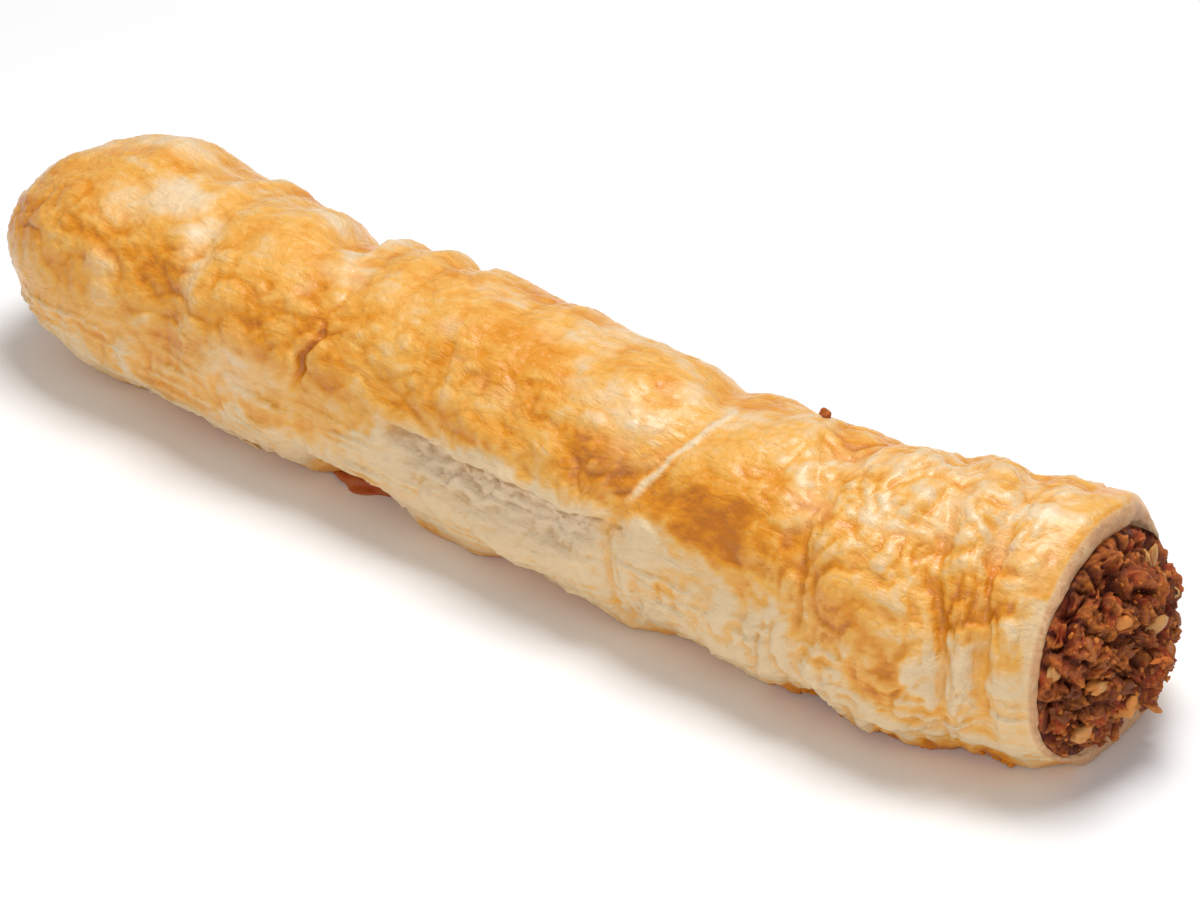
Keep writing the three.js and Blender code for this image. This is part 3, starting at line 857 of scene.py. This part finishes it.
def mince_material(meat):
    """Roasted mince: two meats with spiced bits, with painted shade in the gaps between its lumps."""
    material, tree, shader = new_material("roasted mince")
    masks = node(tree, "ShaderNodeAttribute", attribute_name="mince")
    clump, height, strand = node(tree, "ShaderNodeSeparateColor", {"Color": masks.outputs["Color"]}).outputs
    grain = place_group(tree, grain_group(), {"Size": 1.0, "Roughness": 0.7})
    place = node(tree, "ShaderNodeTexCoord").outputs["Object"]
    kind = node(tree, "ShaderNodeTexNoise", {"Vector": place, "Scale": 150.0, "Detail": 3.0, "Distortion": 1.2})
    spice = node(tree, "ShaderNodeTexNoise", {"Vector": place, "Scale": 330.0, "Detail": 2.0, "Distortion": 0.8})
    body = mixed(tree, ranged(tree, kind.outputs["Fac"], 0.44, 0.56), meat.meat, meat.matrix)
    body = mixed(tree, ranged(tree, clump, 0.35, 0.65, 0.0, 0.45), body, meat.meat)
    body = mixed(tree, ranged(tree, spice.outputs["Fac"], 0.55, 0.68, 0.0, 0.9), body, meat.orange)
    body = mixed(tree, ranged(tree, height, 0.60, 0.95, 0.0, 0.5), body, meat.orange)
    # Painted shade: the low mottle, the low places and the gaps take the crevice colour.
    body = mixed(tree, ranged(tree, grain["Mottle"], 0.36, 0.56, 0.55, 0.0), body, meat.crevice_shade)
    body = mixed(tree, ranged(tree, height, 0.50, 0.12), body, meat.crevice_shade)
    body = mixed(tree, maths(tree, "MULTIPLY", masks.outputs["Alpha"], 0.75), body, meat.crevice_shade)
    tree.links.new(body, shader.inputs["Base Color"])
    tree.links.new(ranged(tree, spice.outputs["Fac"], 0.35, 0.65, 0.34, 0.62), shader.inputs["Roughness"])
    shader.inputs["Specular IOR Level"].default_value = 0.22
    bumped(tree, shader, maths(tree, "ADD", grain["Height"], maths(tree, "MULTIPLY", strand, 0.4)), 0.6)
    return material


def crumb_material(name, light, dark, size, rough, bump):
    """Small loose bits: each bit takes its own shade between light and dark."""
    material, tree, shader = new_material(name)
    shade = node(tree, "ShaderNodeAttribute", attribute_name="shade").outputs["Fac"]
    grain = place_group(tree, grain_group(), {"Size": size, "Roughness": 0.65})
    mottle = maths(tree, "ADD", maths(tree, "MULTIPLY", shade, 0.65),
                   maths(tree, "MULTIPLY", grain["Mottle"], 0.45))
    tree.links.new(mixed(tree, mottle, dark, light), shader.inputs["Base Color"])
    shader.inputs["Specular IOR Level"].default_value = 0.25
    roughness = ranged(tree, grain["Mottle"], 0.0, 1.0, rough - 0.12, rough + 0.12)
    tree.links.new(roughness, shader.inputs["Roughness"])
    bumped(tree, shader, grain["Height"], bump)
    return material


# ---------------------------------------------------------------- scattered bits (Geometry Nodes)

def lump_mesh(name, stretch, roughness, seed, detail=1):
    """One rough bit about 1 mm across, to be repeated."""
    bm = bmesh.new()
    bmesh.ops.create_icosphere(bm, subdivisions=detail, radius=0.5)
    points = np.array([v.co for v in bm.verts])
    push = 1 + roughness * noise(points, 0.45, seed)
    for v, p, k in zip(bm.verts, points, push):
        v.co = Vector(p * k * np.array(stretch)) * MM
    mesh = bpy.data.meshes.new(name)
    bm.to_mesh(mesh)
    bm.free()
    mesh.shade_smooth()
    obj = bpy.data.objects.new(name, mesh)
    bpy.context.scene.collection.objects.link(obj)
    return obj


def scatter_tree(name, shape, material):
    """Geometry Nodes: repeats one small shape over a surface, turned at random and lying on the surface."""
    tree = bpy.data.node_groups.new(name, "GeometryNodeTree")
    face = tree.interface
    face.new_socket("Geometry", in_out="INPUT", socket_type="NodeSocketGeometry")
    for label, kind, default in (("Density", "NodeSocketFloat", 1.0), ("Spacing", "NodeSocketFloat", 0.001),
                                 ("Smallest", "NodeSocketFloat", 1.0), ("Largest", "NodeSocketFloat", 2.0),
                                 ("Tilt", "NodeSocketFloat", 0.5), ("Sink", "NodeSocketFloat", 0.0),
                                 ("Seed", "NodeSocketInt", 0)):
        face.new_socket(label, in_out="INPUT", socket_type=kind).default_value = default
    face.new_socket("Geometry", in_out="OUTPUT", socket_type="NodeSocketGeometry")
    given = tree.nodes.new("NodeGroupInput").outputs
    weights = node(tree, "GeometryNodeInputNamedAttribute", {"Name": "scatter"}, data_type="FLOAT")
    spread = node(tree, "GeometryNodeDistributePointsOnFaces", {
        "Mesh": given["Geometry"], "Distance Min": given["Spacing"], "Density Max": given["Density"],
        "Density Factor": weights.outputs["Attribute"], "Seed": given["Seed"]}, distribute_method="POISSON")
    half_turn = 3.14159
    wild = node(tree, "FunctionNodeRandomValue", {
        0: (-1.0, -1.0, -half_turn), 1: (1.0, 1.0, half_turn),
        "Seed": seed_after(tree, given["Seed"], 1)}, data_type="FLOAT_VECTOR")
    tilt = node(tree, "ShaderNodeCombineXYZ", {"X": given["Tilt"], "Y": given["Tilt"], "Z": 1.0}).outputs[0]
    turn = node(tree, "ShaderNodeVectorMath", {0: wild.outputs[0], 1: tilt}, operation="MULTIPLY").outputs[0]
    turned = node(tree, "FunctionNodeEulerToRotation", {0: turn}).outputs[0]
    rotation = node(tree, "FunctionNodeRotateRotation", {
        "Rotation": spread.outputs["Rotation"], "Rotate By": turned}, rotation_space="LOCAL").outputs[0]
    size = node(tree, "FunctionNodeRandomValue", {
        2: given["Smallest"], 3: given["Largest"], "Seed": seed_after(tree, given["Seed"], 2)},
        data_type="FLOAT").outputs[1]
    source = node(tree, "GeometryNodeObjectInfo", {"Object": shape}).outputs["Geometry"]
    down = node(tree, "ShaderNodeVectorMath", {0: spread.outputs["Normal"]}, operation="SCALE")
    tree.links.new(given["Sink"], down.inputs["Scale"])
    lowered = node(tree, "GeometryNodeSetPosition", {
        "Geometry": spread.outputs["Points"], "Offset": down.outputs[0]})
    placed = node(tree, "GeometryNodeInstanceOnPoints", {
        "Points": lowered.outputs[0], "Instance": source, "Rotation": rotation, "Scale": size}).outputs[0]
    shade = node(tree, "FunctionNodeRandomValue", {"Seed": seed_after(tree, given["Seed"], 3)},
                 data_type="FLOAT").outputs[1]
    shaded = node(tree, "GeometryNodeStoreNamedAttribute", {"Geometry": placed, "Name": "shade", "Value": shade},
                  data_type="FLOAT", domain="INSTANCE").outputs[0]
    real = node(tree, "GeometryNodeRealizeInstances", {"Geometry": shaded}).outputs[0]
    dressed = node(tree, "GeometryNodeSetMaterial", {"Geometry": real, "Material": material}).outputs[0]
    tree.links.new(dressed, tree.nodes.new("NodeGroupOutput").inputs[0])
    return tree


def seed_after(tree, value, extra):
    """A seed a little off the given one, so that each random choice is its own."""
    return node(tree, "ShaderNodeMath", {0: value, 1: float(extra)}, operation="ADD").outputs[0]


def scatter(name, ground, weights, shape, material, **inputs):
    """Bits of one kind over the ground piece where weights allow, as one plain mesh."""
    bed = bpy.data.objects.new(name + "_bed", ground.data.copy())
    bpy.context.scene.collection.objects.link(bed)
    paint(bed.data, "scatter", weights)
    tree = scatter_tree(name, shape, material)
    modifier = bed.modifiers.new("scatter", "NODES")
    modifier.node_group = tree
    for item in tree.interface.items_tree:
        if item.item_type == "SOCKET" and item.in_out == "INPUT" and item.name in inputs:
            modifier[item.identifier] = inputs[item.name]
    graph = bpy.context.evaluated_depsgraph_get()
    mesh = bpy.data.meshes.new_from_object(bed.evaluated_get(graph), depsgraph=graph)
    if not len(mesh.polygons):
        raise RuntimeError(name + ": nothing was scattered")
    mesh.name = name
    obj = bpy.data.objects.new(name, mesh)
    bpy.context.scene.collection.objects.link(obj)
    bpy.data.objects.remove(bed)
    bpy.data.objects.remove(shape)
    return obj


def scatter_kinds(ground, slot, finish, kinds):
    """A piece for each kind of bit. finish is its material's grain, roughness and bump."""
    made = []
    for kind in kinds:
        material = crumb_material(kind.name.replace("_", " "), kind.light, kind.dark, *finish)
        shape = lump_mesh(kind.name + "_shape", kind.stretch, kind.rough, kind.seed, kind.detail)
        piece = scatter(kind.name, ground, kind.where, shape, material, Density=kind.density,
                        Spacing=kind.spacing, Smallest=kind.smallest, Largest=kind.largest, Tilt=kind.tilt,
                        Sink=kind.sink, Seed=kind.seed)
        made.append(finish_piece(piece, slot))
    return made


def vertices_of(obj):
    """The coordinates of a piece's vertices in one row, in metres."""
    co = np.empty(len(obj.data.vertices) * 3)
    obj.data.vertices.foreach_get("co", co)
    return co


def lie_on_tray(obj):
    """Flattens whatever would dip under the level of the tray."""
    co = vertices_of(obj)
    co[2::3] = np.maximum(co[2::3], 0.0)
    obj.data.vertices.foreach_set("co", co)
    obj.data.update()


def lumps_at(name, lumps):
    """A few larger bits as one mesh, each with its centre and reach in roll millimetres and its own seed."""
    points, faces, count = [], [], 0
    for centre, reach, seed in lumps:
        blob = lump_mesh(name, np.array(reach) * 2, 0.5, seed, 3)
        points.append(np.array([v.co for v in blob.data.vertices]) / MM + np.array(centre))
        faces += [[count + i for i in face.vertices] for face in blob.data.polygons]
        count += len(points[-1])
        bpy.data.objects.remove(blob)
    points = np.concatenate(points)
    obj = mesh_object(name, to_frame(points), faces)
    paint(obj.data, "shade", np.clip(0.5 + 0.8 * noise(points, 1.6, 301), 0, 1))
    return obj


def places_of(obj):
    """A piece's vertices in roll millimetres, and the angle of each round the roll."""
    points = (vertices_of(obj).reshape(-1, 3) - to_frame(np.zeros(3))) / MM
    centre_y = eased(SPINE, points[:, 0])
    return points, np.degrees(np.arctan2(points[:, 2] - AXIS_HEIGHT, centre_y - points[:, 1]))


def outside_bore(points):
    """True for each of the pastry's vertices that lies too far from the roll's axis to be in its bore."""
    return np.hypot(points[:, 1] - eased(SPINE, points[:, 0]), points[:, 2] - AXIS_HEIGHT) > 20.0


# ---------------------------------------------------------------- properties

def colour_property(name, description, default):
    return FloatVectorProperty(name=name, description=description, subtype="COLOR", size=3, default=default)


class PastrySizes(PropertyGroup):
    half_width: FloatProperty(name="Half width", description="Half the roll's width, in millimetres",
                              default=22.6)
    half_height: FloatProperty(name="Half height",
                               description="Half the roll's height before the base is flattened, in millimetres",
                               default=22.2)
    wall: FloatProperty(name="Wall", description="Baked pastry over the filling, in millimetres", default=3.2)
    relief: FloatProperty(name="Relief", description="Strength of lumps, blisters and wrinkles",
                          default=1.0, subtype="FACTOR")
    blisters: IntProperty(name="Blisters", description="How many blisters the outer sheet has", default=3000)


class BakeColours(PropertyGroup):
    dough: colour_property("Dough", "Pastry without egg wash", (0.79, 0.585, 0.345))
    gold: colour_property("Gold", "Egg-washed pastry", (0.84, 0.43, 0.085))
    amber: colour_property("Amber", "Well baked egg wash", (0.74, 0.27, 0.010))
    brown: colour_property("Brown", "Darkest baked spots", (0.55, 0.17, 0.008))
    pale: colour_property("Pale", "Skin the egg wash missed", (0.90, 0.68, 0.44))
    layers: colour_property("Layers", "Inner layers where the pastry opened", (0.74, 0.565, 0.375))
    cut_face: colour_property("Cut face", "Cut layers round the filling", (0.63, 0.34, 0.165))
    # The colour of the painted shade deep in the burst, under its lip.
    burst_shade_colour: colour_property("Shaded layers", "Layers deep in the burst", (0.36, 0.21, 0.11))


class FillingLooks(PropertyGroup):
    around: IntProperty(name="Points round", description="Mesh points round the filling", default=330)
    rings: IntProperty(name="Rings", description="Mesh rings over the cut end's dome", default=112)
    coarseness: FloatProperty(name="Coarseness", description="Height of the mince's lumps, in millimetres",
                              default=1.15)
    meat: colour_property("Meat", "Roasted meat", (0.42, 0.060, 0.014))
    matrix: colour_property("Matrix", "Paler binding between the lumps", (0.46, 0.138, 0.030))
    orange: colour_property("Orange", "Spiced and fatty bits", (0.78, 0.24, 0.035))
    # The colour of the painted shade in the gaps; the loose grains and lumps take it as their darkest tone.
    crevice_shade: colour_property("Crevice", "Gaps between lumps", (0.085, 0.014, 0.005))
    pale: colour_property("Pale bits", "Onion and fat", (0.56, 0.34, 0.12))


class StageSettings(PropertyGroup):
    azimuth: FloatProperty(name="Azimuth", description="Camera direction round the roll, in degrees",
                           default=37.57)
    elevation: FloatProperty(name="Elevation", description="Camera height angle, in degrees", default=31.74)
    distance: FloatProperty(name="Distance", description="Camera distance", default=0.66499, unit="LENGTH")
    aim: FloatVectorProperty(name="Aim", description="Point the camera looks at, from the roll's middle",
                             subtype="TRANSLATION", size=3, default=(0.0099, 0.003, -0.00593))
    lens: FloatProperty(name="Lens", description="Focal length in millimetres", default=118.37)
    key: FloatProperty(name="Key light", description="Power of the main softbox in watts", default=4.55)
    fill: FloatProperty(name="Fill light", description="Power of the front softbox in watts", default=2.4)
    sky: FloatProperty(name="Surround", description="Strength of the white surround", default=0.36)


# ---------------------------------------------------------------- operators

class ROLL_OT_crust(Operator):
    """Builds the baked pastry with its scores, blisters, burst and cut rim"""
    bl_idname = "roll.crust"
    bl_label = "Pastry"

    def execute(self, context):
        scene = context.scene
        obj = make_crust_mesh(scene.roll_pastry)
        obj.data.materials.append(pastry_material(scene.roll_bake))
        finish_piece(obj, "baked_pastry", "crust")
        return {"FINISHED"}


class ROLL_OT_filling(Operator):
    """Builds the minced filling, a log that swells out of both ends"""
    bl_idname = "roll.filling"
    bl_label = "Filling"

    def execute(self, context):
        scene = context.scene
        obj = make_filling_mesh(scene.roll_pastry, scene.roll_filling)
        obj.data.materials.append(mince_material(scene.roll_filling))
        finish_piece(obj, "minced_filling", "filling")
        return {"FINISHED"}


class ROLL_OT_mince_bits(Operator):
    """Scatters loose mince, shreds and pale bits over both ends of the filling"""
    bl_idname = "roll.mince_bits"
    bl_label = "Mince bits"

    def execute(self, context):
        meat = context.scene.roll_filling
        ground = bpy.data.objects["mince"]
        points, _ = places_of(ground)
        x = points[:, 0]
        ends = smooth(x, CUT_END + 0.8, CUT_END + 2.5) + smooth(-x, -FAR_END + 0.8, -FAR_END + 1.6)
        patchy = ends * np.clip(0.55 + noise(points, 7, 201), 0, 1)
        scatter_kinds(ground, "minced_filling", (0.9, 0.42, 0.3), (
            Bits("mince_grains", (1.0, 0.8, 0.65), 0.8, meat.orange, meat.crevice_shade, 6e5, 0.0012, 0.5, 1.4,
                 patchy, 11, 2, 0.6, -0.0001),
            Bits("mince_lumps", (1.25, 0.85, 0.6), 1.0, meat.matrix, meat.crevice_shade, 5e4, 0.0045, 2.2, 3.8,
                 patchy, 12, 3, 0.6, -0.0008),
            Bits("mince_shreds", (2.6, 0.55, 0.35), 1.1, meat.orange, meat.meat, 3e4, 0.0050, 0.9, 1.6, ends,
                 13, 3, 0.6, -0.0002),
            Bits("onion_bits", (1.5, 1.0, 0.5), 0.55, meat.pale, meat.orange, 1.6e4, 0.0080, 2.0, 3.6, ends,
                 14, 2, 0.6, 0.0001)))
        chunks = lumps_at("onion_chunks", ONION_CHUNKS)
        chunks.data.materials.append(crumb_material("onion chunks", meat.pale, meat.orange, 0.9, 0.42, 0.3))
        finish_piece(chunks, "minced_filling")
        return {"FINISHED"}


class ROLL_OT_flakes(Operator):
    """Scatters lifted flakes on the unwashed sides and crisp crumbs along the edge of the base"""
    bl_idname = "roll.flakes"
    bl_label = "Flakes"

    def execute(self, context):
        bake = context.scene.roll_bake
        ground = bpy.data.objects["pastry"]
        points, angle = places_of(ground)
        outside = outside_bore(points)
        front = np.where(angle < -120, angle + 360, angle)
        low = (window(front, -56, -26, 8) + window(front, 206, 236, 8)) * outside * (points[:, 0] > -105)
        low = low * np.clip(0.25 + noise(points, 9, 211), 0, 1) * (points[:, 0] < 100)
        base = bell(front, -55, 6) * window(points[:, 0], 60, 104, 6) * outside * (points[:, 2] < 5)
        made = scatter_kinds(ground, "baked_pastry", (1.2, 0.55, 0.15), (
            Bits("pastry_flakes", (1.5, 1.0, 0.14), 0.9, bake.dough, bake.gold, 6e3, 0.008, 1.4, 2.8, low,
                 21, 2, 0.35, 0.00008),
            Bits("base_crumbs", (1.2, 0.9, 0.6), 0.6, bake.amber, bake.brown, 4e5, 0.0009, 0.6, 1.7, base,
                 22, 2, 0.7, -0.0001)))
        for piece in made:
            lie_on_tray(piece)
        return {"FINISHED"}


class ROLL_OT_bits(Operator):
    """Adds the leak of juice at the base and the one loose crumb on top"""
    bl_idname = "roll.bits"
    bl_label = "Juice and crumb"

    def execute(self, context):
        meat = context.scene.roll_filling
        points, angle = places_of(bpy.data.objects["pastry"])
        away = np.hypot(points[:, 0] - 55.6, (angle - 109) * DEGREE_ROUND)
        top = points[np.argmin(away + 99 * ~outside_bore(points))] + np.array([0.0, 0.0, 0.8])
        twist = 0.22
        c, s = math.cos(twist), math.sin(twist)
        turn = np.array([[c, s, 0], [-s, c, 0], [0, 0, 1]])
        for name, centre, reach, seed in (("juice_leak", (-29.6, -8.6, 0.6), (7.2, 3.8, 1.7), 31),
                                          ("loose_crumb", top, (0.95, 0.7, 0.8), 32)):
            blob = lump_mesh(name, np.array(reach) * 2, 0.45, seed, 4)
            co = np.array([v.co for v in blob.data.vertices]) / MM
            placed = co @ turn + np.array(centre)
            placed[:, 2] = np.maximum(placed[:, 2], 0.0)
            blob.data.vertices.foreach_set("co", to_frame(placed).ravel())
            paint(blob.data, "shade", np.clip(0.5 + noise(co, 2.0, seed), 0, 1))
            blob.data.update()
            material = crumb_material(name.replace("_", " "), meat.matrix, meat.meat, 1.4, 0.3, 0.2)
            blob.data.materials.append(material)
            finish_piece(blob, "minced_filling")
        return {"FINISHED"}


class ROLL_OT_stage(Operator):
    """Sets out the pale floor, soft light and the camera"""
    bl_idname = "roll.stage"
    bl_label = "Stage"

    def execute(self, context):
        scene = context.scene
        look = scene.roll_stage
        span = 4.0
        corners = [(-span, -span, 0), (span, -span, 0), (span, span, 0), (-span, span, 0)]
        floor = mesh_object("floor", corners, [(0, 1, 2, 3)])
        material, tree, shader = new_material("pale floor")
        tone = node(tree, "ShaderNodeTexNoise", {"Scale": 3.0}).outputs["Fac"]
        tree.links.new(mixed(tree, tone, (0.93, 0.93, 0.93), (0.96, 0.96, 0.96)), shader.inputs["Base Color"])
        shader.inputs["Roughness"].default_value = 0.8
        floor.data.materials.append(material)

        world = bpy.data.worlds.new("white surround")
        world.use_nodes = True
        world.node_tree.nodes["Background"].inputs["Color"].default_value = (1.0, 1.0, 1.0, 1.0)
        world.node_tree.nodes["Background"].inputs["Strength"].default_value = look.sky
        scene.world = world
        for name, place, size, power in (("key softbox", (0.04, 0.13, 0.75), 0.35, look.key),
                                         ("front softbox", (0.38, -0.84, 0.45), 0.6, look.fill)):
            light = bpy.data.lights.new(name, "AREA")
            light.shape, light.size, light.energy = "SQUARE", size, power
            lamp = bpy.data.objects.new(name, light)
            lamp.location = place
            lamp.rotation_euler = (-Vector(place)).to_track_quat("-Z", "Y").to_euler()
            scene.collection.objects.link(lamp)

        a, e = math.radians(look.azimuth), math.radians(look.elevation)
        back = Vector((math.sin(a) * math.cos(e), -math.cos(a) * math.cos(e), math.sin(e)))
        right = Vector((math.cos(a), math.sin(a), 0))
        up = back.cross(right)
        camera = bpy.data.objects.new("camera", bpy.data.cameras.new("camera"))
        camera.data.lens = look.lens
        camera.data.clip_start, camera.data.clip_end = 0.01, 20
        middle = Vector((0.0, 0.0, 0.0225))
        rotation = Matrix((right, up, back)).transposed().to_4x4()
        camera.matrix_world = Matrix.Translation(middle + Vector(look.aim) + back * look.distance) @ rotation
        scene.collection.objects.link(camera)
        scene.camera = camera
        scene.view_settings.view_transform = "Standard"
        return {"FINISHED"}


class ROLL_PT_panel(Panel):
    bl_label = "Sausage roll"
    bl_idname = "ROLL_PT_panel"
    bl_space_type = "VIEW_3D"
    bl_region_type = "UI"
    bl_category = "Sausage roll"

    def draw(self, context):
        for operator in OPERATORS:
            self.layout.operator(operator.bl_idname)


PROPERTIES = {"roll_pastry": PastrySizes, "roll_bake": BakeColours, "roll_filling": FillingLooks,
              "roll_stage": StageSettings}
OPERATORS = (ROLL_OT_crust, ROLL_OT_filling, ROLL_OT_mince_bits, ROLL_OT_flakes, ROLL_OT_bits, ROLL_OT_stage)
CLASSES = (*PROPERTIES.values(), *OPERATORS, ROLL_PT_panel)


def register():
    for each in CLASSES:
        bpy.utils.register_class(each)
    for name, group in PROPERTIES.items():
        setattr(bpy.types.Scene, name, PointerProperty(type=group))


def unregister():
    for name in PROPERTIES:
        delattr(bpy.types.Scene, name)
    for each in reversed(CLASSES):
        bpy.utils.unregister_class(each)


def main():
    register()
    bpy.ops.roll.crust()
    bpy.ops.roll.filling()
    bpy.ops.roll.mince_bits()
    bpy.ops.roll.flakes()
    bpy.ops.roll.bits()
    bpy.ops.roll.stage()


if __name__ == "__main__":
    main()
